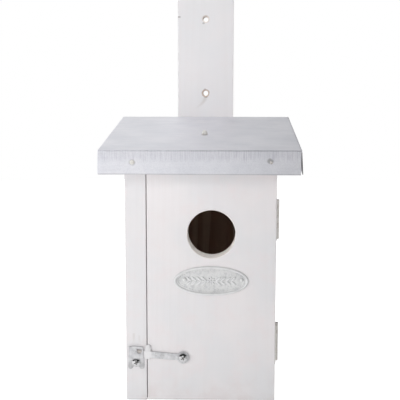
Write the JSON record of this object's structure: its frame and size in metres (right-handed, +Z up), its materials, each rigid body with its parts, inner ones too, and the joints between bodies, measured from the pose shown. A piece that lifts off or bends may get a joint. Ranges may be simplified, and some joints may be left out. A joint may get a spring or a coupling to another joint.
{
  "type": "wooden nest box",
  "caption": "White-painted wooden nest box with a zinc-clad sloping roof, a round entrance hole in a side-hung front door, a bar latch and a hanging board.",
  "frame": {"origin": "middle of the base: on the floor's underside, halfway between the roof's front lip and the back of the hanging board", "axes": "+Z up; -Y to the front, out of the door; +X to the right side, where the hinges are"},
  "size_m": [0.1958, 0.2158, 0.4166],
  "materials": {
    "painted_wood": "thin white paint",
    "zinc_sheet": "dull zinc",
    "plate_metal": "pressed zinc",
    "nail_steel": "galvanised",
    "bright_steel": "bright zinc plating",
    "plated_steel": "zinc plating"
  },
  "bodies": {
    "box": {"left_wall": "painted_wood", "right_wall": "painted_wood", "back_wall": "painted_wood", "floor_board": "painted_wood", "roof_board": "painted_wood", "roof_sheet": "zinc_sheet", "roof_nails": "nail_steel", "hanging_board": "painted_wood", "hanging_board_screws": "bright_steel", "upper_hinge_wall_leaf": "plated_steel", "upper_hinge_wall_screws": "bright_steel", "upper_hinge_pin": "bright_steel", "lower_hinge_wall_leaf": "plated_steel", "lower_hinge_wall_screws": "bright_steel", "lower_hinge_pin": "bright_steel", "latch_catch": "plated_steel", "latch_catch_screw": "bright_steel"},
    "door": {"door": "painted_wood", "oval_plate": "plate_metal", "plate_nails": "nail_steel", "upper_hinge_door_leaf": "plated_steel", "upper_hinge_door_screws": "bright_steel", "lower_hinge_door_leaf": "plated_steel", "lower_hinge_door_screws": "bright_steel", "latch_pivot_screw": "bright_steel"},
    "latch": {"latch_bar": "plated_steel"}
  },
  "joints": [
    {"name": "door_swing", "type": "hinge", "parent": "box", "child": "door", "pos_m": [0.077, -0.05571, 0.1195], "axis": [0, 0, 1], "range_deg": [0, 180]},
    {"name": "latch_swing", "type": "hinge", "parent": "door", "child": "latch", "pos_m": [-0.0173, -0.07931, 0.0454], "axis": [0, 1, 0], "range_deg": [0, 180]}
  ]
}
